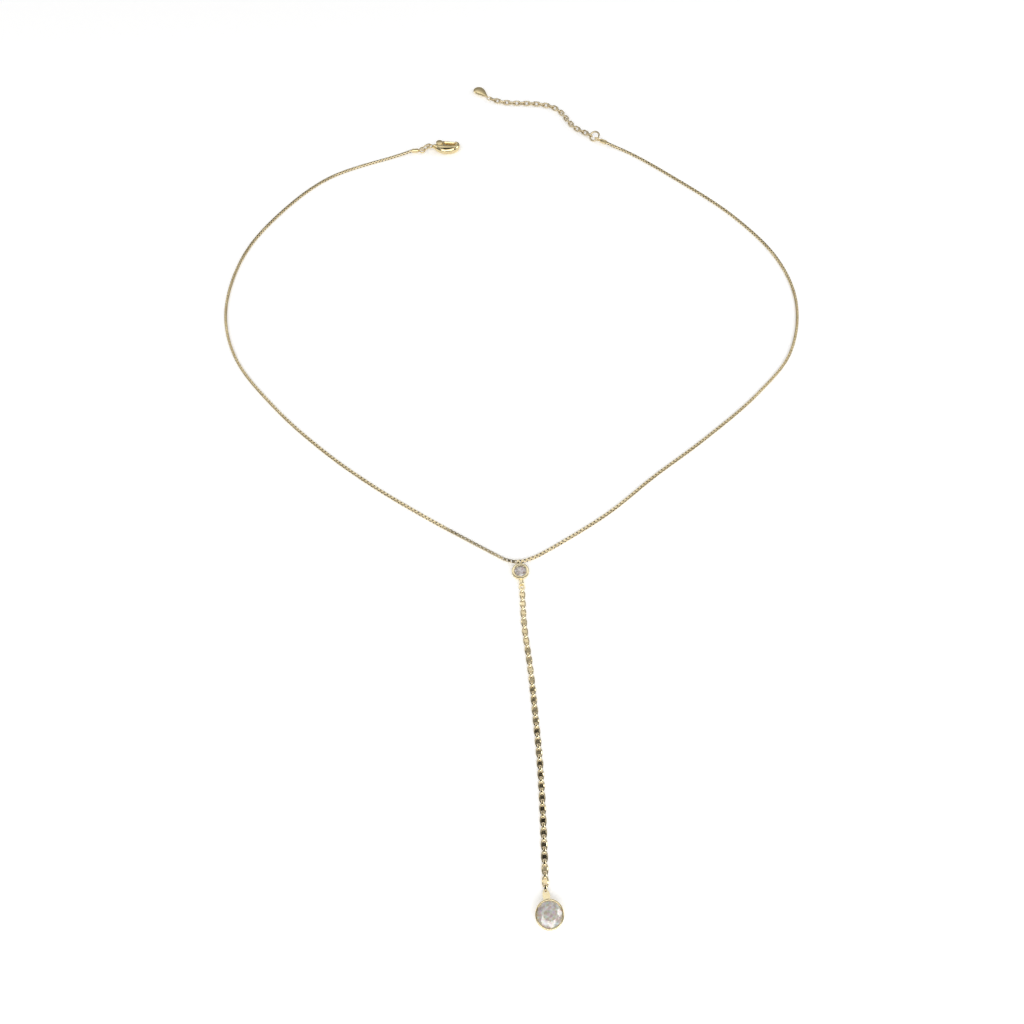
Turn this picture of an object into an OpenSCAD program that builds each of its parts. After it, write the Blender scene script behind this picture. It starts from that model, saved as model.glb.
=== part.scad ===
// Y necklace laid open on a flat surface: box chain, small bezel, plate-link drop, large bezel.
// Millimetres, +Z up, origin on the surface under the middle of the whole outline.

/* [Layout] */
// Width of the laid loop between the outer bends of the box chain
loop_w = 170; // [166:0.5:174]
// Length of the laid loop from the junction to the right end cap
loop_len = 161.6; // [158:0.5:165]

/* [Box chain] */
// Width across the flat sides of the box chain
chain_w = 0.8; // [0.6:0.05:1]
// Depth of the chain's end inside each end cap
chain_seat = 0.8; // [0.4:0.1:1.2]

/* [Clearances] */
// Gap kept between two solids that only hang together
link_gap = 0.1; // [0.08:0.01:0.15]
// Gap round a stone, a pin or a chain end in its seat
seat_gap = 0.06; // [0.04:0.01:0.09]
// Extra room where a leaning jump ring curves back towards the piece that it holds
ring_slack = 0.08; // [0.06:0.01:0.12]

/* [End caps] */
// Outer diameter of an end cap's barrel
cap_d = 1.3; // [1.3:0.05:1.8]
// Length of the barrel
cap_len = 2.2; // [1.8:0.1:5]
// Wire of the loop on an end cap
cap_loop_wire = 0.38; // [0.3:0.02:0.4]
// Outside diameter of that loop
cap_loop_d = 2.15; // [2.1:0.05:2.2]

/* [Jump rings] */
// Outside diameter of the two large jump rings
ring_d = 3.8; // [3.5:0.1:4.4]
// Wire of the large jump rings
ring_wire = 0.6; // [0.4:0.05:0.6]
// Lean of the clasp's jump ring from flat, in degrees
ring_lean = 60; // [54:1:64]
// Lean of the extender's jump ring from flat, in degrees
extender_lean = 32; // [28:1:40]

/* [Clasp] */
// Length from the centre of the clasp's eye to the outside of its nose
clasp_len = 10.3; // [9.8:0.1:11]
// Thickness of the clasp's head
clasp_t = 2.6; // [2.4:0.1:2.8]
// Wire of the clasp's eye
clasp_eye_wire = 0.4; // [0.35:0.05:0.4]
// Outside diameter of the clasp's eye
clasp_eye_d = 2.3; // [2.2:0.1:2.8]
// Distance from the eye to the lever's pin
pin_x = 3.3; // [3.2:0.05:3.4]
// Diameter of the lever's pin
pin_d = 0.6; // [0.5:0.05:0.7]
// Thickness of the lever between the cheeks
lever_t = 1.2; // [1:0.1:1.3]
// Thickness of the lever's arm outside the cheeks
arm_t = 2; // [1.2:0.1:2.2]
// Half the width of the lever's arm
lever_half_w = 0.34; // [0.3:0.02:0.36]

/* [Extender] */
// Outside length of an extender link
link_len = 2.85; // [2.7:0.05:3]
// Outside width of an extender link
link_w = 1.8; // [1.7:0.05:2]
// Wire of an extender link
link_wire = 0.5; // [0.3:0.05:0.5]
// Number of extender links
link_count = 25; // [20:1:25]
// Length of the teardrop tag without its eye
tag_len = 6.95; // [5:0.1:8]
// Width of the tag
tag_w = 4.2; // [3:0.1:5.5]
// Thickness of the tag
tag_t = 1.3; // [0.8:0.1:1.4]

/* [Small setting] */
// Outside diameter of the small bezel
small_d = 4.3; // [3.9:0.1:5]
// Height of the small bezel
small_h = 1.65; // [1.6:0.05:2.2]
// Distance from the chain's middle to the small bezel's edge
small_off = 0.75; // [0.65:0.05:0.85]
// Diameter of the small stone
small_stone_d = 3; // [2.6:0.1:3.1]
// Wire of the bail that holds the box chain
bail_wire = 0.26; // [0.2:0.02:0.36]
// Width of the stem below the small bezel
stem_w = 1.4; // [1:0.1:1.6]
// Length of the stem from the bezel to its eye
stem_len = 1.1; // [0.9:0.1:3]
// Thickness of the stem's eye and of the large bezel's tab
lug_eye_t = 0.2; // [0.16:0.01:0.24]
// Hole in the stem's eye
eye_hole_d = 0.9; // [0.8:0.05:1.1]
// Metal round that hole
eye_wall = 0.34; // [0.28:0.02:0.36]

/* [Drop chain] */
// Number of plates in the drop
plate_count = 28; // [20:1:28]
// Length of a plate
plate_len = 2.08; // [1.9:0.02:2.4]
// Width of a plate at its middle
plate_w = 1.45; // [1.35:0.05:1.65]
// Width of a plate at its ends
plate_end_w = 1; // [0.96:0.02:1.1]
// Thickness of a plate at its raised flat
plate_t = 0.34; // [0.26:0.02:0.4]
// Thickness of a plate at its edge and its lugs
lug_t = 0.16; // [0.12:0.02:0.2]
// Metal between a plate's slot and its end
lug_wall = 0.18; // [0.14:0.01:0.2]
// Open space between the ends of two plates
plate_space = 0.31; // [0.26:0.01:0.4]
// Wire of the links between the plates
conn_wire = 0.25; // [0.2:0.01:0.28]
// Width of those links seen from above
conn_w = 0.4; // [0.3:0.02:0.44]
// Outside height of the links between the plates
conn_h = 1.1; // [1.1:0.02:1.3]

/* [Large setting] */
// Outside diameter of the large bezel
large_d = 5.8; // [5.4:0.1:7]
// Height of the large bezel
large_h = 2.5; // [2.4:0.05:3.2]
// Diameter of the large stone
large_stone_d = 5.1; // [4.6:0.1:5.2]
// Width of the tab that carries the large bezel
tab_w = 1.5; // [1.2:0.05:1.8]
// Length of the tab from its tip to the bezel
tab_len = 2.05; // [1.9:0.05:3]

/* [Hidden] */

// Routes of the chains, as [x, y] from the junction outwards, chosen along the photographed lines
left_route = [[2, -55.4], [-1, -54.9], [-4.5, -52.9], [-21, -42.9], [-36, -32.9], [-50, -21.9],
              [-65, -7.4], [-78.5, 10.1], [-84.5, 28.1], [-83.5, 49.6], [-77, 66.6], [-61, 88.1],
              [-41, 98.9], [-34, 101.85]];
right_route = [[2, -55.4], [5, -54.4], [8.5, -52.4], [24.5, -41.4], [37.5, -29.9], [52, -17.9],
               [68.5, -2.4], [80, 12.6], [85, 32.6], [82, 51.1], [71, 70.1], [53, 89.6], [39.5, 101.9],
               [32.6, 106.2]];
// Route of the drop from the stem's eye, and of the extender from its jump ring
drop_route = [[0, 0], [0.5, -10], [1.8, -20.5], [2.8, -31.5], [3.7, -43], [4.1, -53], [4.3, -63],
              [4.4, -72]];
extender_route = [[0, 0], [-2.4, 1.9], [-5.4, 4.6], [-7.8, 9.1], [-9.5, 12.6], [-12.1, 15.6],
                  [-16.1, 17.3], [-21.4, 18], [-26.5, 18.2], [-31, 19], [-35.3, 21.1],
                  [-38.6, 22.9]];

// The routes fitted to the loop's width and length
laid_w = 170;
laid_len = 161.6;
function fitted(points) =
  [for (p = points) [p[0] * loop_w / laid_w,
                     left_route[0][1] + (p[1] - left_route[0][1]) * loop_len / laid_len]];
left_line = fitted(left_route);
right_line = fitted(right_route);

// Colours
gold = "#d8c08c";
stone_color = "#e6e4e6";

// Directions in degrees from +X
setting_dir = -85;
large_dir = -81.5;
clasp_dir = -5;
clasp_ring_dir = 37.5;
left_cap_dir = 7;
right_cap_dir = 147;
extender_ring_dir = 138;
tag_dir = 130;

// Facets and steps
round_fn = 48;
route_steps = 3;
fine_steps = 12;
tube_sides = 8;
link_sides = 12;
link_wire_sides = 6;
conn_wire_sides = 5;
claw_sides = 12;
claw_steps = 3;

// Heights above the surface
line_z = 0.95;
links_z = 0.8;
bail_hole = chain_w * sqrt(2) + 2 * seat_gap;
bail_z = bail_wire + bail_hole / 2;
conn_z = conn_h / 2;
clasp_z = clasp_t / 2;

// Drop chain sizes that follow from the ones above
conn_half = plate_space / 2 + lug_wall + 1.5 * link_gap + conn_wire / 2;
slot_len = conn_wire + 2.5 * link_gap;
slot_w = conn_w + 2 * link_gap;
plate_pitch = plate_len + plate_space;
drop_len = 2 * conn_half + plate_count * plate_pitch;

// Extender sizes that follow from the ones above
link_half = (link_len - link_wire) / 2;
link_side = (link_w - link_wire) / 2;
link_pitch = link_len - 2 * link_wire - link_gap;
ring_hook = ring_wire / 2 + link_gap + ring_slack;
tag_eye_d = 2;
tag_eye_wire = 0.3;
tag_eye_side = (tag_eye_d - tag_eye_wire) / 2;

// Jump ring placing: where the line of the chain crosses a leaning ring
ring_side = (ring_d - ring_wire) / 2;
function ring_z(lean) = ring_side * sin(abs(lean)) + ring_wire / 2;
function ring_dip(lean, z) = (ring_z(lean) - z) / sin(lean);
function ring_reach(lean, z) = sqrt(pow(ring_side, 2) - pow(ring_dip(lean, z), 2));
function ring_middle(near, dir, lean) =
  near + polar(ring_reach(lean, line_z), dir) + polar(ring_dip(lean, line_z) * cos(lean), dir + 90);
function ring_far(near, dir, lean, z) =
  ring_middle(near, dir, lean) + polar(ring_reach(lean, z), dir)
  - polar(ring_dip(lean, z) * cos(lean), dir + 90);

// One knot step of a centripetal curve
function knot(a, b) = sqrt(norm(b - a));

// Point at share f between b and c on the curve through a, b, c and d
function curve_point(a, b, c, d, f) =
  let (t1 = knot(a, b), t2 = t1 + knot(b, c), t3 = t2 + knot(c, d), t = t1 + (t2 - t1) * f)
  let (ab = ((t1 - t) * a + t * b) / t1)
  let (bc = ((t2 - t) * b + (t - t1) * c) / (t2 - t1))
  let (cd = ((t3 - t) * c + (t - t2) * d) / (t3 - t2))
  let (abc = ((t2 - t) * ab + t * bc) / t2)
  let (bcd = ((t3 - t) * bc + (t - t1) * cd) / (t3 - t1))
  ((t2 - t) * abc + (t - t1) * bcd) / (t2 - t1);

// Smooth path through the points, with a guiding point before the first
function smooth(points, steps, before) =
  let (last = len(points) - 1)
  let (after = 2 * points[last] - points[last - 1])
  let (all = concat([before], points, [after]))
  concat([for (i = [1:last], k = [0:steps - 1])
            curve_point(all[i - 1], all[i], all[i + 1], all[i + 2], k / steps)],
         [points[last]]);

// The point opposite the second one, for a free end
function mirrored_start(points) = 2 * points[0] - points[1];

// Running length at each point of a path
function running(path) =
  [for (i = 0, s = 0; i < len(path);
        s = s + (i < len(path) - 1 ? norm(path[i + 1] - path[i]) : 0), i = i + 1) s];

// Point of a path at the running length s, straight on before its start
function along(path, lengths, s) =
  s < 0 ? path[0] + (path[1] - path[0]) * s / lengths[1]
        : [for (k = [0:len(path[0]) - 1])
             lookup(s, [for (i = [0:len(path) - 1]) [lengths[i], path[i][k]]])];

// Middle and direction of the chord that reaches both ways from the running length s
function chord(path, lengths, s, reach) =
  let (a = along(path, lengths, s - reach), b = along(path, lengths, s + reach))
  [(a + b) / 2, bearing(a, b)];

// Direction from a to b, in degrees
function bearing(a, b) = atan2(b[1] - a[1], b[0] - a[0]);

// Point at a distance and a direction in degrees
function polar(r, a) = [r * cos(a), r * sin(a)];

// Closed sweep faces for n rings of m points, with flat or joined ends
function sweep_faces(n, m, joined) =
  concat([for (i = [0:n - (joined ? 1 : 2)], j = [0:m - 1])
            let (k = (i + 1) % n, l = (j + 1) % m)
            [i * m + j, k * m + j, k * m + l, i * m + l]],
         joined ? [] : [[for (j = [0:m - 1]) j], [for (j = [m - 1:-1:0]) (n - 1) * m + j]]);

// One mesh out of many: each entry is [points, faces]
function starts(meshes) =
  [for (i = 0, s = 0; i < len(meshes); s = s + len(meshes[i][0]), i = i + 1) s];
function joined_points(meshes) = [for (m = meshes) each m[0]];
function joined_faces(meshes) =
  let (first = starts(meshes))
  [for (i = [0:len(meshes) - 1]) each [for (f = meshes[i][1]) [for (p = f) p + first[i]]]];

// Oval ring of wire about the origin, long way along X, rolled about X, then turned and moved
function oval_link(half, side, wire, broad, sides, wire_sides, roll, turn, at) =
  let (straight = max(0, half - side), bend = side / cos(180 / sides))
  let (points = [for (i = [0:sides - 1])
                   let (a = 360 * (i + 0.5) / sides, e = cos(a) > 0 ? 1 : -1)
                   for (j = [0:wire_sides - 1])
                     let (b = -360 * j / wire_sides)
                     let (r = bend + wire / 2 * cos(b))
                     let (x = e * straight + r * cos(a), y = r * sin(a), z = broad / 2 * sin(b))
                     let (y2 = y * cos(roll) - z * sin(roll), z2 = y * sin(roll) + z * cos(roll))
                     [at[0] + x * cos(turn) - y2 * sin(turn),
                      at[1] + x * sin(turn) + y2 * cos(turn),
                      at[2] + z2]])
  [points, sweep_faces(sides, wire_sides, true)];

// Box chain halves: swept tubes, flat side down, that meet under the bail

// Height of the chain's middle: up into the bail at the start, up to the end cap at the end
function chain_z(s, total) =
  let (bail_rise = (bail_z - chain_w / 2) * max(0, 1 - s / chain_rise_len))
  let (cap_rise = (line_z - chain_w / 2) * pow(max(0, 1 - (total - s) / cap_rise_len), 2))
  chain_w / 2 + max(bail_rise, cap_rise);
chain_rise_len = 7;
cap_rise_len = 8;

function chain_path(route, before) =
  let (flat = smooth(route, route_steps, before), lengths = running(flat))
  let (total = lengths[len(flat) - 1])
  [for (i = [0:len(flat) - 1]) [flat[i][0], flat[i][1], chain_z(lengths[i], total)]];

left_path = chain_path(left_line, right_line[1]);
right_path = chain_path(right_line, left_line[1]);

// The path trimmed by half a gap at the junction and lengthened into its end cap
function seated_path(path, end_dir) =
  let (n = len(path), start = path[1] - path[0], tip = polar(cap_standoff + chain_seat, end_dir))
  concat([path[0] + start * (link_gap / 2) / norm(start)],
         [for (i = [1:n - 1]) path[i]],
         [path[n - 1] + [tip[0], tip[1], 0]]);

module box_chain(path, end_dir) {
  line = seated_path(path, end_dir);
  n = len(line);
  r = chain_w / 2 / cos(180 / tube_sides);
  points = [for (i = [0:n - 1])
              let (a = line[max(0, i - 1)], b = line[min(n - 1, i + 1)])
              let (first_dir = i == 0 ? junction_dir(end_dir) : bearing(a, b))
              let (d = i == n - 1 ? end_dir : first_dir)
              for (j = [0:tube_sides - 1])
                let (w = 360 * (j + 0.5) / tube_sides, side = r * cos(w))
                line[i] + [-side * sin(d), side * cos(d), r * sin(w)]];
  polyhedron(points, sweep_faces(n, tube_sides, false));
}

// Both halves start square to one shared direction, so that their ends face each other
function junction_dir(end_dir) =
  let (across = bearing(left_line[1], right_line[1]))
  end_dir == left_cap_dir ? across + 180 : across;

module box_chain_left() {
  color(gold) box_chain(left_path, left_cap_dir);
}

module box_chain_right() {
  color(gold) box_chain(right_path, right_cap_dir);
}

// End caps: a barrel with a blind seat for the chain and a loop square to the jump ring
cap_bore = chain_w / cos(180 / tube_sides) + 2 * seat_gap;
cap_standoff = 0.3;
cap_neck_len = 0.5;
cap_neck_d = cap_loop_wire + 0.12;
cap_edge = 0.15;
cap_loop_side = (cap_loop_d - cap_loop_wire) / 2;
cap_loop_x = cap_len + cap_neck_len + cap_loop_side - cap_loop_wire / 4;
cap_hook_x = cap_loop_x - link_gap / 2;

module wire_ring(side, wire) {
  rotate_extrude($fn = round_fn) translate([side, 0]) circle(d = wire, $fn = 24);
}

module end_cap(path, end_dir, lean) {
  at = path[len(path) - 1];
  translate([at[0], at[1], line_z]) rotate([0, 0, end_dir]) translate([cap_standoff, 0, 0]) {
    rotate([0, 90, 0]) rotate_extrude($fn = round_fn) polygon([
      [0, chain_seat + seat_gap], [cap_bore / 2, chain_seat + seat_gap], [cap_bore / 2, 0],
      [cap_d / 2 - 0.03, 0], [cap_d / 2, 0.1], [cap_d / 2, cap_len - cap_edge],
      [cap_d / 2 - cap_edge, cap_len], [cap_neck_d / 2, cap_len + cap_neck_len / 2],
      [cap_neck_d / 2, cap_len + cap_neck_len + cap_loop_wire / 2],
      [0, cap_len + cap_neck_len + cap_loop_wire / 2]]);
    translate([cap_loop_x, 0, 0]) rotate([lean + 90, 0, 0]) wire_ring(cap_loop_side, cap_loop_wire);
  }
}

module end_cap_left() {
  color(gold) end_cap(left_path, left_cap_dir, -ring_lean);
}

module end_cap_right() {
  color(gold) end_cap(right_path, right_cap_dir, -extender_lean);
}

// Jump rings: each leans about the line that it joins and dips to the surface
function cap_hook(path, end_dir) =
  let (at = path[len(path) - 1]) [at[0], at[1]] + polar(cap_standoff + cap_hook_x, end_dir);

module jump_ring(near, dir, lean) {
  middle = ring_middle(near, dir, lean);
  translate([middle[0], middle[1], ring_z(lean)]) rotate([0, 0, dir]) rotate([lean, 0, 0])
    wire_ring(ring_side, ring_wire);
}

clasp_ring_near = cap_hook(left_path, left_cap_dir);
clasp_ring_far = ring_far(clasp_ring_near, clasp_ring_dir, -ring_lean, clasp_z);

module clasp_ring() {
  color(gold) jump_ring(clasp_ring_near, clasp_ring_dir, -ring_lean);
}

extender_ring_near = cap_hook(right_path, right_cap_dir);
extender_ring_far = ring_far(extender_ring_near, extender_ring_dir, -extender_lean, line_z);

module extender_ring() {
  color(gold) jump_ring(extender_ring_near, extender_ring_dir, -extender_lean);
}

// Clasp: a claw swept round the bay, an eye, and two cheeks that hold the lever's pin
clasp_eye_side = (clasp_eye_d - clasp_eye_wire) / 2;
clasp_eye_at = clasp_ring_far + polar(link_gap, clasp_dir);
pin_y = 0.85;
cheek_r = 1.2;
hub_r = pin_d / 2 + seat_gap + 0.35;
lever_slot = lever_t + 2 * seat_gap;
nose_x = clasp_len - 1.8;

// Claw sections: share of the length, side shift, half width, share of half the height
claw_table = [[0.092, 0, 0.45, 0.4], [0.184, -0.1, 0.75, 0.7], [0.31, -0.8, 1.25, 0.92],
              [0.465, -1.05, 1.85, 1], [0.62, -1.2, 1.7, 1], [0.776, -1.02, 1.27, 0.96],
              [0.893, -0.25, 0.85, 0.88], [0.94, 0.9, 0.65, 0.77], [0.903, 1.9, 0.48, 0.62],
              [0.825, 2.4, 0.36, 0.46]];
claw_stations = [for (row = claw_table)
                   [row[0] * clasp_len, row[1], row[2], row[3] * clasp_t / 2]];
claw_line = smooth(claw_stations, claw_steps, mirrored_start(claw_stations));

module claw() {
  n = len(claw_line);
  points = [for (i = [0:n - 1])
              let (a = claw_line[max(0, i - 1)], b = claw_line[min(n - 1, i + 1)], c = claw_line[i])
              let (d = bearing(a, b))
              for (j = [0:claw_sides - 1])
                let (w = 360 * (j + 0.5) / claw_sides, side = c[2] * cos(w))
                [c[0] - side * sin(d), c[1] + side * cos(d), c[3] * sin(w)]];
  polyhedron(points, sweep_faces(n, claw_sides, false));
}

module place_clasp() {
  translate([clasp_eye_at[0], clasp_eye_at[1], clasp_z]) rotate([0, 0, clasp_dir]) children();
}

module cheek() {
  edge = 0.2;
  translate([pin_x, pin_y, 0]) rotate_extrude($fn = round_fn) polygon([
    [0, -clasp_t / 2], [cheek_r - edge, -clasp_t / 2], [cheek_r, -clasp_t / 2 + edge],
    [cheek_r, clasp_t / 2 - edge], [cheek_r - edge, clasp_t / 2], [0, clasp_t / 2]]);
}

module lever_room() {
  room = hub_r + seat_gap;
  translate([pin_x, pin_y, -lever_slot / 2]) {
    cylinder(r = room, h = lever_slot, $fn = round_fn);
    translate([-room / 2, 0, 0]) cube([room / 2 + cheek_r + 1, cheek_r + 1, lever_slot]);
    translate([0, -room, 0]) cube([cheek_r + 1, 2 * room, lever_slot]);
  }
}

module clasp_body() {
  color(gold) place_clasp() {
    difference() {
      union() {
        claw();
        cheek();
      }
      lever_room();
    }
    translate([pin_x, pin_y, -clasp_t / 2 + seat_gap]) cylinder(d = pin_d, h = clasp_t - 2 * seat_gap,
                                                                $fn = round_fn);
    wire_ring(clasp_eye_side, clasp_eye_wire);
  }
}

// Lever: hub on the pin, arm to the nose, and a thumb tab outside
lever_tip = [nose_x - 0.25, 1.5];
lever_bend = [pin_x + 1.7, 1.6];
tab_at = [pin_x + 1.2, 2.05];

module lever_spot(at, grow) {
  translate(at) circle(r = lever_half_w + grow, $fn = 32);
}

module lever_outline() {
  hull() {
    translate([pin_x, pin_y]) circle(r = hub_r, $fn = round_fn);
    lever_spot(lever_bend, 0.12);
  }
  hull() {
    lever_spot(lever_bend, 0.12);
    lever_spot(lever_tip, 0);
  }
  hull() {
    lever_spot(lever_bend, 0.12);
    lever_spot(tab_at, 0);
  }
}

// The arm outside the cheeks, thicker than the part between them
module lever_arm() {
  hull() {
    for (level = [[arm_t / 2 - 0.2, 0], [arm_t / 2, -0.2]]) {
      translate([0, 0, -level[0]]) linear_extrude(2 * level[0]) {
        lever_spot([pin_x + cheek_r + seat_gap + lever_half_w + 0.2, lever_bend[1]], level[1]);
        lever_spot([lever_tip[0] - 0.2, lever_tip[1]], level[1]);
      }
    }
  }
}

module clasp_lever() {
  color(gold) place_clasp() difference() {
    union() {
      translate([0, 0, -lever_t / 2]) linear_extrude(lever_t) lever_outline();
      lever_arm();
    }
    translate([pin_x, pin_y, -lever_t]) cylinder(d = pin_d + 2 * seat_gap, h = 2 * lever_t,
                                                 $fn = round_fn);
  }
}

// Extender: oval links that lean left and right in turn, then the tag's eye
extender_path = smooth(extender_route, fine_steps, mirrored_start(extender_route));
extender_lengths = running(extender_path);
first_link_s = link_half - ring_hook - link_wire / 2;
last_wire_s = first_link_s + (link_count - 1) * link_pitch + link_half;
tag_eye_s = last_wire_s - link_wire / 2 - tag_eye_wire / 2 - link_gap + tag_eye_side;

function extender_z(s) = links_z + (line_z - links_z) * max(0, 1 - s / (5 * link_pitch));

module extender_chain() {
  links = [for (i = [0:link_count - 1])
             let (s = first_link_s + i * link_pitch)
             let (line = chord(extender_path, extender_lengths, s, link_pitch / 2))
             let (p = line[0] + extender_ring_far)
             oval_link(link_half, link_side, link_wire, link_wire, link_sides, link_wire_sides,
                       i % 2 == 0 ? 90 - extender_lean : -extender_lean, line[1],
                       [p[0], p[1], extender_z(s)])];
  color(gold) polyhedron(joined_points(links), joined_faces(links));
}

// Tag: a plain puffed teardrop with its eye
module extender_tag() {
  at = along(extender_path, extender_lengths, tag_eye_s) + extender_ring_far;
  belly = tag_w / 2;
  neck = tag_eye_side + tag_eye_wire / 2;
  color(gold) translate([at[0], at[1], links_z]) rotate([0, 0, tag_dir]) {
    wire_ring(tag_eye_side, tag_eye_wire);
    hull() {
      for (level = [-1, 1]) {
        translate([neck + tag_len - belly, 0, level * tag_t / 2 - 0.05])
          cylinder(r = belly * 0.55, h = 0.1, $fn = 32);
      }
      translate([neck + tag_len - belly, 0, -tag_t / 4]) cylinder(r = belly, h = tag_t / 2, $fn = 32);
      translate([neck, 0, -tag_eye_wire / 2])
        cylinder(r = tag_eye_wire / 2, h = tag_eye_wire, $fn = 16);
    }
  }
}

// Bezel: a tapered cup with a lip, a seat that follows the stone and an open back
lip_w = 0.14;
foot_share = 0.78;
girdle_t = 0.08;
crown_rise = 0.16;
pavilion_rise = 0.41;
lip_drop = 0.2;

module bezel(d, h, stone_d) {
  girdle_z = h - lip_drop;
  seat_r = stone_d / 2 + seat_gap;
  shelf_z = girdle_z - girdle_t - seat_gap;
  slope = 2 * pavilion_rise;
  hole_r = stone_d * 0.26;
  rotate_extrude($fn = 2 * round_fn) polygon([
    [hole_r, 0], [d / 2 * foot_share, 0], [d / 2, h * 0.55], [d / 2, h - 0.2], [d / 2 - 0.12, h],
    [seat_r - lip_w + 0.06, h], [seat_r - lip_w, h - 0.05], [seat_r - 0.02, girdle_z + seat_gap],
    [seat_r, girdle_z], [seat_r, shelf_z], [seat_r - 0.1, shelf_z - 0.1 * slope],
    [hole_r, shelf_z - (seat_r - hole_r) * slope - seat_gap / 2]]);
}

// Brilliant-cut stone: table, eight kites, sixteen girdle points and a pointed back
function ring_of(n, r, z, shift) = [for (i = [0:n - 1]) let (a = 360 * (i + shift) / n)
                                      [r * cos(a), r * sin(a), z]];

module brilliant(d, girdle_z) {
  r = d / 2;
  table_r = 0.56 * r;
  star_r = 0.79 * r;
  low_r = 0.3 * r;
  crown_h = crown_rise * d;
  slope = crown_h / (r - table_r);
  depth = pavilion_rise * d;
  half = 22.5;
  star_z = girdle_z + crown_h - (star_r * cos(half) - table_r) * slope;
  low_z = girdle_z - girdle_t - (r - low_r * cos(half)) * depth / r;
  points = concat(
    ring_of(8, table_r, girdle_z + crown_h, 0), ring_of(8, star_r, star_z, 0.5),
    ring_of(16, r, girdle_z, 0), ring_of(16, r, girdle_z - girdle_t, 0),
    ring_of(8, low_r, low_z, 0.5), [[0, 0, girdle_z - girdle_t - depth]]);
  up = 16;
  down = 32;
  low = 48;
  culet = 56;
  faces = concat(
    [[for (i = [7:-1:0]) i]],
    [for (i = [0:7]) [i, (i + 1) % 8, 8 + i]],
    [for (i = [0:7]) [i, 8 + i, up + 2 * i, 8 + (i + 7) % 8]],
    [for (i = [0:7]) [8 + i, up + (2 * i + 1), up + 2 * i]],
    [for (i = [0:7]) [8 + i, up + (2 * i + 2) % 16, up + (2 * i + 1)]],
    [for (i = [0:15]) [up + i, up + (i + 1) % 16, down + (i + 1) % 16, down + i]],
    [for (i = [0:7]) [down + 2 * i, down + 2 * i + 1, low + i]],
    [for (i = [0:7]) [down + 2 * i + 1, down + (2 * i + 2) % 16, low + i]],
    [for (i = [0:7]) [down + 2 * i, low + i, culet, low + (i + 7) % 8]]);
  polyhedron(points, faces);
}

// Small setting: from the bail at the junction down to the stem's eye
junction = left_line[0];
small_at = junction + polar(small_d / 2 + small_off, setting_dir);
eye_r = eye_hole_d / 2 + eye_wall;
eye_at = small_at + polar(small_d / 2 + stem_len + eye_r, setting_dir);
drop_start = eye_at + polar(eye_hole_d / 2 - conn_wire / 2 - 1.5 * link_gap, setting_dir);

module stem() {
  reach = small_d / 2 + stem_len;
  groove = 0.12;
  difference() {
    translate([0, stem_w / 2, 0]) rotate([90, 0, 0]) linear_extrude(stem_w) polygon([
      [small_d / 2 - 0.25, 0.2], [reach + 0.15, conn_z - lug_eye_t / 2 - 0.04],
      [reach + 0.15, conn_z + lug_eye_t / 2 + 0.06], [small_d / 2 + 0.3, small_h - 0.25],
      [small_d / 2 - 0.25, small_h - 0.25]]);
    translate([small_d / 2 + 0.2, -groove / 2, small_h - 0.35]) cube([stem_len, groove, small_h]);
  }
}

module small_setting() {
  color(gold) translate([small_at[0], small_at[1], 0]) rotate([0, 0, setting_dir]) {
    bezel(small_d, small_h, small_stone_d);
    stem();
    difference() {
      translate([small_d / 2 + stem_len + eye_r, 0, conn_z - lug_eye_t / 2])
        cylinder(r = eye_r, h = lug_eye_t, $fn = round_fn);
      translate([small_d / 2 + stem_len + eye_r, 0, 0])
        cylinder(d = eye_hole_d, h = small_h, $fn = round_fn);
    }
    translate([-(small_d / 2 + small_off), 0, bail_z]) rotate([90, 0, 0])
      wire_ring(bail_hole / 2 + bail_wire / 2, bail_wire);
  }
}

module small_stone() {
  color(stone_color) translate([small_at[0], small_at[1], 0]) rotate([0, 0, setting_dir])
    brilliant(small_stone_d, small_h - lip_drop);
}

// Drop chain: faceted plates with a slot near each end, joined by upright oval links
drop_path = smooth(drop_route, fine_steps, mirrored_start(drop_route));
drop_lengths = running(drop_path);

// Half width of a plate at x
function plate_side(x) =
  plate_end_w / 2 + (plate_w - plate_end_w) / 2 * pow(max(0, 1 - pow(2 * x / plate_len, 2)), 0.75);

flat_share = 0.6;
slot_out = plate_len / 2 - lug_wall;
slot_in = slot_out - slot_len;
plate_columns = [-plate_len / 2, -slot_out, -slot_in, 0, slot_in, slot_out, plate_len / 2];

// One column of a plate: six points on top, then four below
function plate_column(x) =
  let (side = plate_side(x), flat = flat_share * side, slot = min(slot_w / 2, 0.8 * flat))
  let (low = -lug_t / 2, edge = lug_t / 2)
  let (top = abs(x) < slot_out ? low + plate_t : edge)
  [[x, -side, edge], [x, -flat, top], [x, -slot, top], [x, slot, top], [x, flat, top],
   [x, side, edge], [x, -side, low], [x, -slot, low], [x, slot, low], [x, side, low]];

function is_slot(i, j) = j == 1 && (i == 1 || i == 4);

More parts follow.
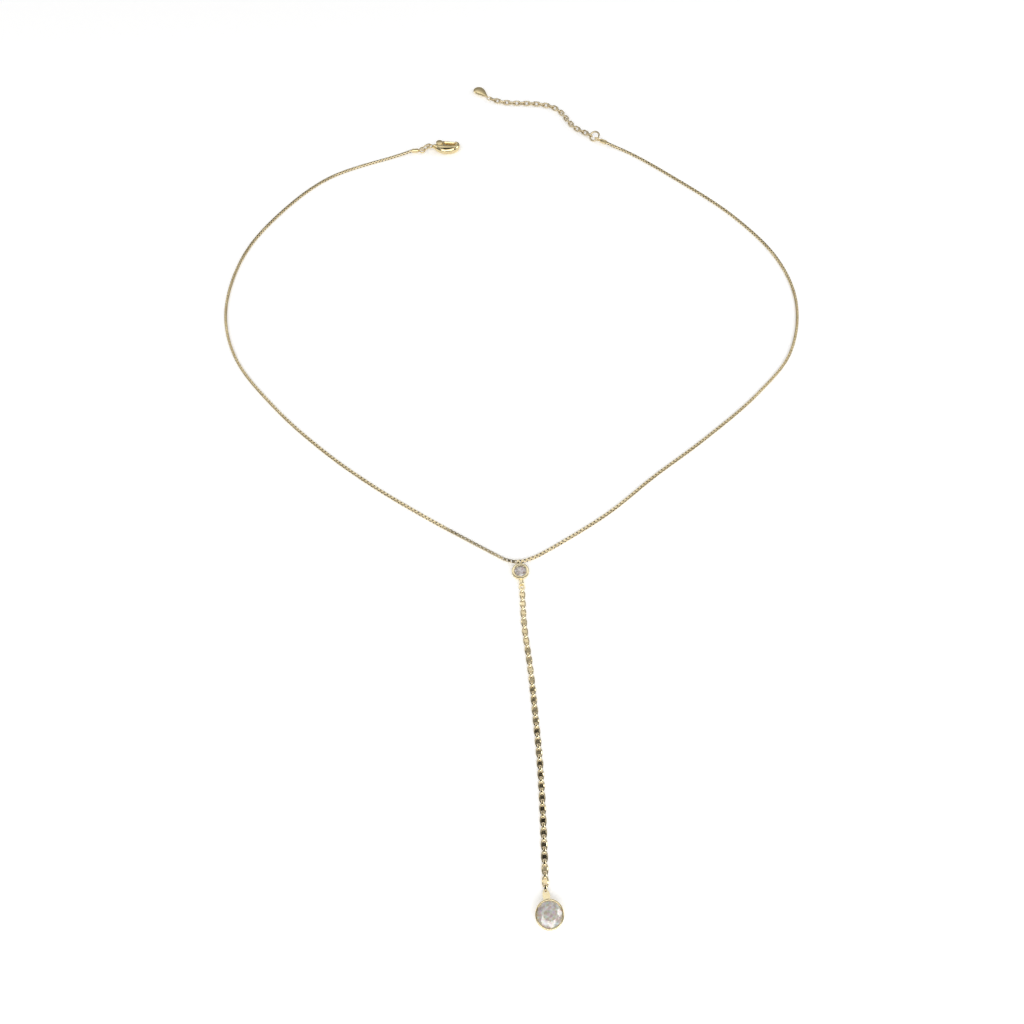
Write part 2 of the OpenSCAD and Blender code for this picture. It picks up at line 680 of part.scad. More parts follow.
plate_points = [for (x = plate_columns) each plate_column(x)];
plate_faces = concat(
  [for (i = [0:5], j = [0:4]) if (!is_slot(i, j - 1)) let (k = 10 * i + j)
     each i < 3 ? [[k, k + 1, k + 11], [k, k + 11, k + 10]]
                : [[k, k + 1, k + 10], [k + 1, k + 11, k + 10]]],
  [for (i = [0:5], j = [0:2]) if (!is_slot(i, j))
     [10 * i + j + 7, 10 * i + j + 6, 10 * i + j + 16, 10 * i + j + 17]],
  [for (i = [0:5]) [10 * i, 10 * i + 10, 10 * i + 16, 10 * i + 6]],
  [for (i = [0:5]) [10 * i + 15, 10 * i + 5, 10 * i + 9, 10 * i + 19]],
  [[6, 7, 8, 9, 5, 4, 3, 2, 1, 0], [60, 61, 62, 63, 64, 65, 69, 68, 67, 66]],
  [for (i = [1, 4]) each [
     [10 * i + 2, 10 * i + 3, 10 * i + 8, 10 * i + 7],
     [10 * i + 13, 10 * i + 12, 10 * i + 17, 10 * i + 18],
     [10 * i + 12, 10 * i + 2, 10 * i + 7, 10 * i + 17],
     [10 * i + 3, 10 * i + 13, 10 * i + 18, 10 * i + 8]]]);

function placed_plate(s) =
  let (line = chord(drop_path, drop_lengths, s, plate_pitch / 2))
  let (at = line[0] + drop_start, turn = line[1])
  [[for (p = plate_points) [at[0] + p[0] * cos(turn) - p[1] * sin(turn),
                            at[1] + p[0] * sin(turn) + p[1] * cos(turn), conn_z + p[2]]],
   plate_faces];

function placed_connector(s) =
  let (line = chord(drop_path, drop_lengths, s, plate_pitch / 2))
  let (at = line[0] + drop_start)
  oval_link(conn_half, (conn_h - conn_wire) / 2, conn_wire, conn_w, link_sides, conn_wire_sides,
            90, line[1], [at[0], at[1], conn_z]);

module drop_chain() {
  plates = [for (i = [0:plate_count - 1]) placed_plate(conn_half + (i + 0.5) * plate_pitch)];
  connectors = [for (i = [0:plate_count]) placed_connector(conn_half + i * plate_pitch)];
  parts = concat(plates, connectors);
  color(gold) polyhedron(joined_points(parts), joined_faces(parts));
}

// Large setting: the tab takes the last link, and the bezel stands on its flat foot
drop_end = along(drop_path, drop_lengths, drop_len) + drop_start;
tab_slot_x = lug_wall + slot_len - conn_wire / 2 - link_gap;
large_at = drop_end + polar(large_d / 2 + tab_len - tab_slot_x, large_dir);

module tab() {
  tip = -(large_d / 2 + tab_len);
  low = conn_z - lug_eye_t / 2;
  slot_x = tip + lug_wall + slot_len / 2;
  difference() {
    translate([0, 0, low]) linear_extrude(lug_eye_t) {
      translate([tip + tab_w / 2, 0]) circle(d = tab_w, $fn = round_fn);
      translate([tip + tab_w / 2, -tab_w / 2]) square([tab_len, tab_w]);
    }
    for (side = [-1, 1]) {
      translate([slot_x, side * (conn_w - conn_wire) / 2, 0])
        cylinder(d = slot_len, h = large_h, $fn = round_fn);
    }
    translate([-(large_d * foot_share / 2 - 0.3), -tab_w, -large_h])
      cube([large_d, 2 * tab_w, 3 * large_h]);
  }
}

module large_setting() {
  color(gold) translate([large_at[0], large_at[1], 0]) rotate([0, 0, large_dir]) {
    bezel(large_d, large_h, large_stone_d);
    tab();
  }
}

module large_stone() {
  color(stone_color) translate([large_at[0], large_at[1], 0]) rotate([0, 0, large_dir])
    brilliant(large_stone_d, large_h - lip_drop);
}

box_chain_left();
box_chain_right();
end_cap_left();
end_cap_right();
clasp_ring();
clasp_body();
clasp_lever();
extender_ring();
extender_chain();
extender_tag();
small_setting();
small_stone();
drop_chain();
large_setting();
large_stone();
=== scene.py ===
"""A y necklace laid open on a pale surface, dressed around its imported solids.

The new pieces are shaped in millimetres and put in place in metres, in the frame of the solids.
"""

import logging
import math
from collections.abc import Callable, Iterator, Sequence
from contextlib import contextmanager
from dataclasses import dataclass
from enum import Enum

import bmesh
import bpy
from mathutils import Matrix, Vector


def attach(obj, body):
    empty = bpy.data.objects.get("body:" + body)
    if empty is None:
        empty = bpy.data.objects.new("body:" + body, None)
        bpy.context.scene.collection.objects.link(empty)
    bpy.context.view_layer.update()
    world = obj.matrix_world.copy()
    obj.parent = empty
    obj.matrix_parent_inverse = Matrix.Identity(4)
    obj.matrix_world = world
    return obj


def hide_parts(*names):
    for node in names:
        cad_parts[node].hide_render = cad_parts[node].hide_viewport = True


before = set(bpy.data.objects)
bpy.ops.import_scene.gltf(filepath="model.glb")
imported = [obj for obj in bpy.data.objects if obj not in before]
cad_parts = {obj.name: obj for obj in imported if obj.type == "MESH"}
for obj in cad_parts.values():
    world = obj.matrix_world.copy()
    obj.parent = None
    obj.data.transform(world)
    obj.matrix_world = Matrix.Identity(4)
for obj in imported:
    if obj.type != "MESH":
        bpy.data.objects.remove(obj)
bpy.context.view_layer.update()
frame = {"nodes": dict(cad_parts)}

log = logging.getLogger("y_necklace")

MM = 0.001
TINY_MM = 1e-4
SLACK_MM = 1e-3
CLEAR_MM = 0.01
SHARP_DEG = 28.0

Pair = tuple[float, float]
Colour = tuple[float, float, float]

LEFT_ROUTE: tuple[Pair, ...] = (
    (0.002, -0.0554), (-0.001, -0.0549), (-0.0045, -0.0529), (-0.021, -0.0429), (-0.036, -0.0329),
    (-0.05, -0.0219), (-0.065, -0.0074), (-0.0785, 0.0101), (-0.0845, 0.0281), (-0.0835, 0.0496),
    (-0.077, 0.0666), (-0.061, 0.0881), (-0.041, 0.0989), (-0.034, 0.10185))
RIGHT_ROUTE: tuple[Pair, ...] = (
    (0.002, -0.0554), (0.005, -0.0544), (0.0085, -0.0524), (0.0245, -0.0414), (0.0375, -0.0299),
    (0.052, -0.0179), (0.0685, -0.0024), (0.08, 0.0126), (0.085, 0.0326), (0.082, 0.0511),
    (0.071, 0.0701), (0.053, 0.0896), (0.0395, 0.1019), (0.0326, 0.1062))
DROP_ROUTE: tuple[Pair, ...] = (
    (0, 0), (0.0005, -0.01), (0.0018, -0.0205), (0.0028, -0.0315), (0.0037, -0.043),
    (0.0041, -0.053), (0.0043, -0.063), (0.0044, -0.072))
EXTENDER_ROUTE: tuple[Pair, ...] = (
    (0, 0), (-0.0024, 0.0019), (-0.0054, 0.0046), (-0.0078, 0.0091), (-0.0095, 0.0126),
    (-0.0121, 0.0156), (-0.0161, 0.0173), (-0.0214, 0.018), (-0.0265, 0.0182), (-0.031, 0.019),
    (-0.0353, 0.0211), (-0.0386, 0.0229))
LEFT_TWIST: tuple[Pair, ...] = ((0, 0), (2.5, -16), (5, -22), (16, -18), (24, 0), (230, 0))
RIGHT_TWIST: tuple[Pair, ...] = ((0, 0), (230, 0))
LEFT_CAP_DEG, RIGHT_CAP_DEG = 7, 147
DROP_START, EXTENDER_START = (0.00262011, -0.0624879), (0.027151, 0.110319)
TAG_MM, CLASP_MM = (-7.85425, 131.264), (-27.7703, 103.898)
SMALL_MM, LARGE_MM = (2.25275, -58.289), (7.64413, -134.887)


class Body(Enum):
    """The bodies that a new piece rides on."""

    NECKLACE = "necklace"


class Slot(Enum):
    """The record's finishes that the new pieces take."""

    GOLD = "gold"


class Side(Enum):
    """The two halves of the box chain."""

    LEFT = "left"
    RIGHT = "right"


class Route:
    """A smooth line through given points, measured in millimetres along its length."""

    def __init__(self, points: Sequence[Pair], start: Pair = (0.0, 0.0), steps: int = 12,
                 before: Pair | None = None) -> None:
        """Lay the line.

        Args:
            points: The points in metres.
            start: What is added to every point, in metres.
            steps: How many short straight runs lie between two points.
            before: A guiding point in metres ahead of the first one.
        """
        line = [Vector(((x + start[0]) / MM, (y + start[1]) / MM)) for x, y in points]
        ahead = Vector(before) / MM if before else 2 * line[0] - line[1]
        line = [ahead, *line, 2 * line[-1] - line[-2]]
        self.spots: list[Vector] = []
        for i in range(1, len(line) - 2):
            for k in range(steps):
                self.spots.append(self.between(line[i - 1:i + 3], k / steps))
        self.spots.append(line[-2])
        self.lengths = [0.0]
        for a, b in zip(self.spots, self.spots[1:]):
            self.lengths.append(self.lengths[-1] + (b - a).length)

    @staticmethod
    def between(four: Sequence[Vector], share: float) -> Vector:
        """Point of the centripetal curve between the middle two of four points.

        Args:
            four: The points.
            share: How far along, from 0 to 1.

        Returns:
            The point on the curve.
        """
        a, b, c, d = four
        t1 = math.sqrt((b - a).length)
        t2 = t1 + math.sqrt((c - b).length)
        t3 = t2 + math.sqrt((d - c).length)
        t = t1 + (t2 - t1) * share
        ab = ((t1 - t) * a + t * b) / t1
        bc = ((t2 - t) * b + (t - t1) * c) / (t2 - t1)
        cd = ((t3 - t) * c + (t - t2) * d) / (t3 - t2)
        abc = ((t2 - t) * ab + t * bc) / t2
        bcd = ((t3 - t) * bc + (t - t1) * cd) / (t3 - t1)
        return ((t2 - t) * abc + (t - t1) * bcd) / (t2 - t1)

    @property
    def total(self) -> float:
        """Length of the whole line."""
        return self.lengths[-1]

    def at(self, s: float) -> Vector:
        """Point at a running length, straight on before the start and after the end.

        Args:
            s: Running length in millimetres.

        Returns:
            The point, in millimetres.
        """
        last = len(self.spots) - 2
        i = min(last, max(0, next((k - 1 for k, v in enumerate(self.lengths) if v > s), last)))
        share = (s - self.lengths[i]) / (self.lengths[i + 1] - self.lengths[i])
        return self.spots[i].lerp(self.spots[i + 1], share)

    def chord(self, s: float, reach: float) -> tuple[Vector, float]:
        """Middle and direction of the chord that reaches both ways from a running length.

        Args:
            s: Running length in millimetres.
            reach: How far the chord reaches to each side.

        Returns:
            The middle, in millimetres, and the direction in radians.
        """
        a, b = self.at(s - reach), self.at(s + reach)
        return (a + b) / 2, math.atan2(b.y - a.y, b.x - a.x)


class Bench:
    """The modelling steps that all pieces share."""

    @staticmethod
    def clear() -> None:
        """Leave edit mode and deselect everything."""
        active = bpy.context.view_layer.objects.active
        if active is not None and active.mode != "OBJECT":
            bpy.ops.object.mode_set(mode="OBJECT")
        bpy.ops.object.select_all(action="DESELECT")

    @staticmethod
    def hold(obj: bpy.types.Object) -> None:
        """Make obj the only selected and active object."""
        Bench.clear()
        obj.select_set(True)
        bpy.context.view_layer.objects.active = obj

    @staticmethod
    @contextmanager
    def editing(obj: bpy.types.Object) -> Iterator[None]:
        """Work on obj in edit mode, and return to object mode."""
        Bench.hold(obj)
        bpy.ops.object.mode_set(mode="EDIT")
        yield
        bpy.ops.object.mode_set(mode="OBJECT")

    @staticmethod
    def pick(obj: bpy.types.Object, kind: str, test: Callable[..., bool]) -> None:
        """Select the parts of the mesh in edit mode that pass a test.

        Args:
            obj: The object in edit mode.
            kind: VERT, EDGE or FACE.
            test: Says whether one such part is wanted.
        """
        bpy.ops.mesh.select_mode(type=kind)
        bpy.ops.mesh.select_all(action="DESELECT")
        mesh = bmesh.from_edit_mesh(obj.data)
        mesh.normal_update()
        parts = {"VERT": mesh.verts, "EDGE": mesh.edges, "FACE": mesh.faces}[kind]
        for part in parts:
            if test(part):
                part.select_set(True)
        bmesh.update_edit_mesh(obj.data)

    @staticmethod
    def pick_all() -> None:
        """Select the whole mesh in edit mode."""
        bpy.ops.mesh.select_all(action="SELECT")

    @staticmethod
    def face_out() -> None:
        """Turn every face of the mesh outwards in edit mode."""
        Bench.pick_all()
        bpy.ops.mesh.normals_make_consistent(inside=False)

    @staticmethod
    def move(x: float, y: float, z: float) -> None:
        """Move what is selected in edit mode."""
        bpy.ops.transform.translate(value=(x, y, z))

    @staticmethod
    def stretch(x: float, y: float, z: float, about: Vector | Sequence[float] = (0, 0, 0)) -> None:
        """Scale what is selected in edit mode about a point."""
        bpy.ops.transform.resize(value=(x, y, z), center_override=tuple(about))

    @staticmethod
    def turn(angle: float, about: Vector | Sequence[float]) -> None:
        """Turn what is selected in edit mode about Z by an angle in radians.

        With no window the operator turns the other way, so the angle is negated.
        """
        bpy.ops.transform.rotate(value=-angle, orient_axis="Z", center_override=tuple(about))

    @staticmethod
    def pull(x: float = 0, y: float = 0, z: float = 0) -> None:
        """Extrude what is selected in edit mode."""
        bpy.ops.mesh.extrude_region_move(TRANSFORM_OT_translate={"value": (x, y, z)})

    @staticmethod
    def block(name: str, size: Sequence[float],
              at: Sequence[float] = (0, 0, 0)) -> bpy.types.Object:
        """A block of a size, with its middle at a place.

        Args:
            name: What the block is called.
            size: Its sides in millimetres.
            at: Its middle in millimetres.

        Returns:
            The block.
        """
        Bench.clear()
        bpy.ops.mesh.primitive_cube_add(size=1)
        obj = bpy.context.object
        obj.name = name
        with Bench.editing(obj):
            Bench.pick_all()
            Bench.stretch(*size)
            Bench.move(*at)
        return obj

    @staticmethod
    def wire_link(name: str, half: float, side: float, wire: float, sides: int,
                  wire_sides: int, broad: float = 0.0) -> bpy.types.Object:
        """An oval link of wire, long way along X.

        Args:
            name: What the link is called.
            half: From its middle to the wire's middle along X.
            side: The same along Y.
            wire: Diameter of the wire.
            sides: Steps round the link.
            wire_sides: Steps round the wire.
            broad: Height of flattened wire, or nothing for round wire.

        Returns:
            The link.
        """
        Bench.clear()
        bpy.ops.mesh.primitive_torus_add(major_radius=side, minor_radius=wire / 2,
                                         major_segments=sides, minor_segments=wire_sides)
        obj = bpy.context.object
        obj.name = name
        with Bench.editing(obj):
            if broad:
                Bench.pick_all()
                Bench.stretch(1, 1, broad / wire)
            for way in (1, -1):
                Bench.pick(obj, "VERT", lambda v: v.co.x * way > TINY_MM)
                Bench.move(way * max(0.0, half - side), 0, 0)
        return obj

    @staticmethod
    def turned(name: str, profile: Sequence[Pair], steps: int) -> bpy.types.Object:
        """Turn a closed profile about Z, by extruding a circle from point to point.

        Args:
            name: What the piece is called.
            profile: Radius and height of each point, in millimetres.
            steps: Steps round the axis.

        Returns:
            The turned piece.
        """
        Bench.clear()
        bpy.ops.mesh.primitive_circle_add(vertices=steps, radius=profile[0][0])
        obj = bpy.context.object
        obj.name = name
        with Bench.editing(obj):
            Bench.pick_all()
            Bench.move(0, 0, profile[0][1])
            for (r, z), (next_r, next_z) in zip(profile, [*profile[1:], profile[0]]):
                Bench.pull(0, 0, next_z - z)
                Bench.stretch(next_r / r, next_r / r, 1)
            Bench.pick_all()
            bpy.ops.mesh.remove_doubles(threshold=TINY_MM)
            Bench.face_out()
        return obj

    @staticmethod
    def drawn(name: str, sections: Sequence[Sequence[float]], sides: int) -> bpy.types.Object:
        """Draw an oval face out through sections that stand square to a line in the XY plane.

        Args:
            name: What the piece is called.
            sections: X, Y, half width and half height of each section, in millimetres.
            sides: Steps round a section.

        Returns:
            The closed piece.
        """
        Bench.clear()
        bpy.ops.mesh.primitive_circle_add(vertices=sides, radius=1, fill_type="NGON",
                                          rotation=(0, math.pi / 2, 0))
        bpy.ops.object.transform_apply(location=False, rotation=True, scale=False)
        obj = bpy.context.object
        obj.name = name
        last = len(sections) - 1
        turns = []
        for i in range(len(sections)):
            a, b = sections[max(0, i - 1)], sections[min(last, i + 1)]
            turns.append(math.atan2(b[1] - a[1], b[0] - a[0]))
        at, turn, wide, high = Vector((0, 0, 0)), 0.0, 1.0, 1.0
        with Bench.editing(obj):
            Bench.pick_all()
            for i, (x, y, half_wide, half_high) in enumerate(sections):
                if i:
                    Bench.pull()
                    Bench.turn(-turn, at)
                Bench.stretch(1, half_wide / wide, half_high / high, at)
                Bench.turn(turns[i], at)
                Bench.move(x - at.x, y - at.y, 0)
                at, turn, wide, high = Vector((x, y, 0)), turns[i], half_wide, half_high
            Bench.face_out()
        return obj

    @staticmethod
    def apply(obj: bpy.types.Object, kind: str, **settings: object) -> None:
        """Add a modifier with its settings and apply it."""
        Bench.hold(obj)
        step = obj.modifiers.new(kind.title(), kind)
        for key, value in settings.items():
            setattr(step, key, value)
        bpy.ops.object.modifier_apply(modifier=step.name)

    @staticmethod
    def soften(obj: bpy.types.Object, width: float, segments: int = 2) -> None:
        """Round the sharp edges of a piece."""
        Bench.apply(obj, "BEVEL", width=width, segments=segments, limit_method="ANGLE",
                    angle_limit=math.radians(SHARP_DEG), use_clamp_overlap=True)

    @staticmethod
    def combine(obj: bpy.types.Object, other: bpy.types.Object, operation: str) -> None:
        """Cut other from obj or unite them, and remove other."""
        Bench.apply(obj, "BOOLEAN", object=other, operation=operation, solver="EXACT")
        bpy.data.objects.remove(other)

    @staticmethod
    def placed(obj: bpy.types.Object, matrix: Matrix) -> bpy.types.Object:
        """Put the mesh of obj in place, in millimetres."""
        obj.data.transform(matrix)
        return obj

    @staticmethod
    def joined(name: str, objs: Sequence[bpy.types.Object]) -> bpy.types.Object:
        """Join objects into the first of them."""
        Bench.clear()
        for obj in objs:
            obj.select_set(True)
        bpy.context.view_layer.objects.active = objs[0]
        if len(objs) > 1:
            bpy.ops.object.join()
        objs[0].name = name
        return objs[0]

    @staticmethod
    def repeated(pattern: bpy.types.Object, matrices: Sequence[Matrix]) -> list[bpy.types.Object]:
        """Copy a pattern piece to many places, each copy with its own mesh.

        Args:
            pattern: The piece to copy, which is removed afterwards.
            matrices: The places, in millimetres.

        Returns:
            The copies.
        """
        copies = []
        for matrix in matrices:
            copy = pattern.copy()
            copy.data = pattern.data.copy()
            copy.data.transform(matrix)
            bpy.context.scene.collection.objects.link(copy)
            copies.append(copy)
        bpy.data.objects.remove(pattern)
        return copies


def lie(at: Vector | Sequence[float], z: float, heading: float, roll: float = 0.0,
        climb: float = 0.0) -> Matrix:
    """Place of a piece that lies along a heading.

    Args:
        at: X and Y in millimetres.
        z: Height in millimetres.
        heading: Direction in radians.
        roll: Turn about its own length, in radians.
        climb: How steeply it rises, in radians.

    Returns:
        The place as a matrix, in millimetres.
    """
    return (Matrix.Translation((at[0], at[1], z)) @ Matrix.Rotation(heading, 4, "Z")
            @ Matrix.Rotation(-climb, 4, "Y") @ Matrix.Rotation(roll, 4, "X"))


class Graph:
    """The shader nodes of a material or of the room, and short ways to add to them."""

    def __init__(self, owner: bpy.types.Material | bpy.types.World) -> None:
        """Start from the nodes that Blender gives.

        Args:
            owner: The material or the room.
        """
        owner.use_nodes = True
        self.nodes, self.links = owner.node_tree.nodes, owner.node_tree.links

    def add(self, kind: str, **values: float | Sequence[float]) -> bpy.types.Node:
        """Add a node.

        Args:
            kind: Its type, without the leading ShaderNode.
            values: Its inputs' values, by name, with _ for each space.

        Returns:
            The node.
        """
        node = self.nodes.new(f"ShaderNode{kind}")
        Graph.fill(node, **values)
        return node

    @staticmethod
    def fill(node: bpy.types.Node, **values: float | Sequence[float]) -> None:
        """Set inputs of a node by name, with _ for each space."""
        for name, value in values.items():
            node.inputs[name.replace("_", " ")].default_value = value

    def place(self, kind: str = "Object") -> bpy.types.NodeSocket:
        """Where on the object, or in which direction, the shader is asked for."""
        return self.add("TexCoord").outputs[kind]

    def grain(self, size_mm: float, detail: float) -> bpy.types.Node:
        """Noise with cells of a size."""
        return self.add("TexNoise", Scale=1 / (size_mm * MM), Detail=detail)

    def ramp(self, low: float, dark: Colour, high: float, light: Colour) -> bpy.types.Node:
        """A ramp from one colour to another.

        Args:
            low: Where the first colour ends.
            dark: The first colour.
            high: Where the second colour starts.
            light: The second colour.

        Returns:
            The ramp.
        """
        node = self.add("ValToRGB")
        for stop, position, colour in zip(node.color_ramp.elements, (low, high), (dark, light)):
            stop.position = position
            stop.color = (*colour, 1)
        return node

    def chain(self, source: bpy.types.NodeSocket, *steps: tuple[bpy.types.Node, str, str]) -> None:
        """Link a source through nodes.

        Args:
            source: The first output.
            steps: Each node, with the input that is fed and the output that feeds the next.
        """
        for node, into, out in steps:
            self.links.new(source, node.inputs[into])
            source = node.outputs[out] if out else source


@dataclass(frozen=True)
class MetalFinish:
    """Plated gold with slight colour drift, uneven polish and fine scratches."""

    name: str
    colour: Colour
    deep: Colour
    polish: float
    dull: float
    grain_mm: float = 0.5
    scratch: float = 0.12
    drift_cells: float = 6.0
    scratch_cells: float = 0.6
    relief_mm: float = 0.01

    def material(self) -> bpy.types.Material:
        """Build the procedural material."""
        made = bpy.data.materials.new(self.name)
        graph = Graph(made)
        shader = graph.nodes["Principled BSDF"]
        Graph.fill(shader, Metallic=1.0)
        place = graph.place()
        drift = graph.grain(self.drift_cells * self.grain_mm, 3.0)
        tint = graph.ramp(0.3, self.deep, 0.7, self.colour)
        wear = graph.grain(self.grain_mm, 4.0)
        rough = graph.add("MapRange", From_Min=0.3, From_Max=0.7, To_Min=self.polish,
                          To_Max=self.dull)
        lines = graph.add("Mapping", Scale=(1.0, 6.0, 2.0))
        fine = graph.grain(self.scratch_cells * self.grain_mm, 2.0)
        bump = graph.add("Bump", Strength=self.scratch, Distance=self.relief_mm * MM)
        graph.chain(place, (drift, "Vector", "Fac"), (tint, "Fac", "Color"),
                    (shader, "Base Color", ""))
        graph.chain(place, (wear, "Vector", "Fac"), (rough, "Value", "Result"),
                    (shader, "Roughness", ""))
        graph.chain(place, (lines, "Vector", "Vector"), (fine, "Vector", "Fac"),
                    (bump, "Height", "Normal"), (shader, "Normal", ""))
        return made


@dataclass(frozen=True)
class StoneFinish:
    """Cut stone, milky inside, with painted fire: coloured glints painted into the base colour,
    changing from cell to cell.
    """

    name: str
    clear: Colour
    milky: Colour
    index: float
    passes: float
    painted_fire: float
    cell_mm: float
    painted_fire_cells: float = 0.6
    relief_mm: float = 0.01

    def material(self) -> bpy.types.Material:
        """Build the procedural material."""
        made = bpy.data.materials.new(self.name)
        graph = Graph(made)
        shader = graph.nodes["Principled BSDF"]
        Graph.fill(shader, Transmission_Weight=self.passes, IOR=self.index)
        place = graph.place()
        haze = graph.grain(self.cell_mm, 3.0)
        body = graph.ramp(0.38, self.milky, 0.62, self.clear)
        # Random colours per cell, mixed into the base colour: painted fire glints.
        painted_fire_colours = graph.add("TexVoronoi", Scale=1 / (self.painted_fire_cells * self.cell_mm * MM))
        blend = graph.add("Mix")
        blend.data_type = "RGBA"
        Graph.fill(blend, Factor=self.painted_fire)
        rough = graph.add("MapRange", To_Min=0.02, To_Max=0.1)
        bump = graph.add("Bump", Strength=0.05, Distance=self.relief_mm * MM)
        graph.chain(place, (haze, "Vector", "Fac"), (body, "Fac", "Color"),
                    (blend, "A", "Result"), (shader, "Base Color", ""))
        graph.chain(place, (painted_fire_colours, "Vector", "Color"), (blend, "B", ""))
        graph.chain(haze.outputs["Fac"], (rough, "Value", "Result"), (shader, "Roughness", ""))
        graph.chain(haze.outputs["Fac"], (bump, "Height", "Normal"), (shader, "Normal", ""))
        return made


CHAIN_GOLD = MetalFinish("chain_gold", (0.84, 0.72, 0.47), (0.68, 0.56, 0.34), 0.16, 0.3)
PLATE_GOLD = MetalFinish("plate_gold", (0.84, 0.72, 0.47), (0.7, 0.58, 0.35), 0.08, 0.2, 0.8, 0.08)
CAST_GOLD = MetalFinish("cast_gold", (0.86, 0.73, 0.44), (0.72, 0.58, 0.32), 0.12, 0.26, 0.7)
# Near-black gold for the inside faces of the box links: painted shade in the links' hollows.
INSIDE_PAINTED_SHADE = MetalFinish("inside_painted_shade", (0.12, 0.09, 0.05), (0.07, 0.05, 0.03), 0.4, 0.6)
RIM_GOLD = MetalFinish("rim_gold", (0.88, 0.78, 0.53), (0.74, 0.62, 0.38), 0.1, 0.22, 0.7)
WIRE_GOLD = MetalFinish("wire_gold", (0.74, 0.64, 0.44), (0.58, 0.48, 0.31), 0.18, 0.34)
# The fifth number of each stone is the share of painted fire glints in its base colour.
WHITE_STONE = StoneFinish("white_stone", (1.0, 0.99, 0.96), (0.72, 0.58, 0.47), 2.2, 0.3, 0.2, 0.6)
SMALL_STONE = StoneFinish("small_stone", (0.86, 0.8, 0.75), (0.42, 0.3, 0.26), 2.2, 0.35, 0.15, 0.5)


@dataclass
class Piece:
    """What every new piece shares: its name, and how it is built and put in place."""

    name: str

    def build(self) -> bpy.types.Object:
        """Model the piece, in millimetres."""
        raise NotImplementedError

    def dress(self, finish: bpy.types.Material, slot: Slot, *nodes: str,
              smooth_deg: float = 35.0,
              inside: bpy.types.Material | None = None) -> None:
        """Build the piece, put it in place and hide the solids that it replaces.

        Args:
            finish: Its material.
            slot: The record's finish; not used.
            nodes: The solids that it replaces.
            smooth_deg: Edges flatter than this are shaded smooth.
            inside: Material of painted shade for the faces that the piece marks as its inside, or
                nothing.
        """
        obj = self.build()
        obj.name = self.name
        obj.data.name = self.name
        obj.data.transform(Matrix.Scale(MM, 4))
        Bench.hold(obj)
        bpy.ops.object.shade_smooth_by_angle(angle=math.radians(smooth_deg))
        obj.data.materials.append(finish)
        # The faces marked as inside get the second material: painted shade.
        if inside:
            obj.data.materials.append(inside)
        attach(obj, Body.NECKLACE.value)
        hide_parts(*nodes)
        log.info("%s: %d faces", self.name, len(obj.data.polygons))


@dataclass
class BoxChain(Piece):
    """Half of the box chain: square links of flat strip, each turned a quarter from the last."""

    side: Side
    route: Route
    end_heading: float
    twist: tuple[Pair, ...]
    width: float = 0.8
    link_len: float = 0.76
    strip_t: float = 0.1
    strip_w: float = 0.56
    pitch: float = 0.552
    edge: float = 0.05
    bail_z: float = 0.886
    rise_len: float = 7.0
    line_z: float = 0.95
    cap_rise_len: float = 8.0
    seat: float = 1.05
    climb_reach: float = 0.1
    corner: float = 1.2

    def link(self) -> bpy.types.Object:
        """One square link: a block with a window through it and its outer edges eased."""
        obj = Bench.block("box_link", (self.link_len, self.width, self.strip_w))
        with Bench.editing(obj):
            Bench.pick(obj, "FACE", lambda f: abs(f.normal.z) > 0.9)
            bpy.ops.mesh.inset(thickness=self.strip_t, use_individual=True)
            bpy.ops.mesh.bridge_edge_loops()
            outer = (self.link_len / 2 - SLACK_MM, self.width / 2 - SLACK_MM)
            Bench.pick(obj, "EDGE", lambda e: e.calc_face_angle(0) > self.corner and all(
                abs(v.co.x) > outer[0] or abs(v.co.y) > outer[1] for v in e.verts))
            bpy.ops.mesh.bevel(offset=self.edge, segments=1, affect="EDGES")
        return obj

    def roll(self, s: float) -> float:
        """Turn of the chain about its line at a running length, in radians."""
        for (a, low), (b, high) in zip(self.twist, self.twist[1:]):
            if a <= s <= b:
                share = (s - a) / (b - a)
                share = share * share * (3 - 2 * share)
                return math.radians(low + (high - low) * share)
        return math.radians(self.twist[-1][1])

    def height(self, s: float) -> float:
        """Height of the chain's middle: on the surface, up to the bail and up to the end cap."""
        roll = self.roll(s)
        flat = self.width / 2 * (abs(math.cos(roll)) + abs(math.sin(roll)))
        bail = (self.bail_z - flat) * max(0.0, 1 - s / self.rise_len)
        cap = (self.line_z - flat) * max(0.0, 1 - (self.route.total - s) / self.cap_rise_len) ** 2
        return flat + max(bail, cap)

    def build(self) -> bpy.types.Object:
        """Lay all links along the route."""
        matrices = []
        first = 0.5 * self.pitch
        count = int((self.route.total + self.seat - first - self.link_len / 2) / self.pitch) + 1
        for i in range(count):
            s = first + i * self.pitch
            if s > self.route.total:
                at = self.route.at(self.route.total) + (s - self.route.total) * Vector(
                    (math.cos(self.end_heading), math.sin(self.end_heading)))
                heading = self.end_heading
            else:
                at, heading = self.route.chord(s, self.pitch / 2)
            ahead, reach = min(s, self.route.total), self.climb_reach
            climb = math.atan((self.height(ahead + reach) - self.height(ahead - reach))
                              / (2 * reach))
            quarter = (i + (self.side is Side.LEFT)) % 2 * math.pi / 2
            height = self.line_z if s > self.route.total else self.height(s)
            matrices.append(lie(at, height, heading, self.roll(ahead) + quarter,
                                0 if s > self.route.total else climb))
        link = self.link()
        # Faces that point into a link take the second material, painted shade.
        painted_shade_faces = [face.normal.dot(face.center) < -CLEAR_MM for face in link.data.polygons]
        chain = Bench.joined(self.name, Bench.repeated(link, matrices))
        for face in chain.data.polygons:
            face.material_index = int(painted_shade_faces[face.index % len(painted_shade_faces)])
        return chain


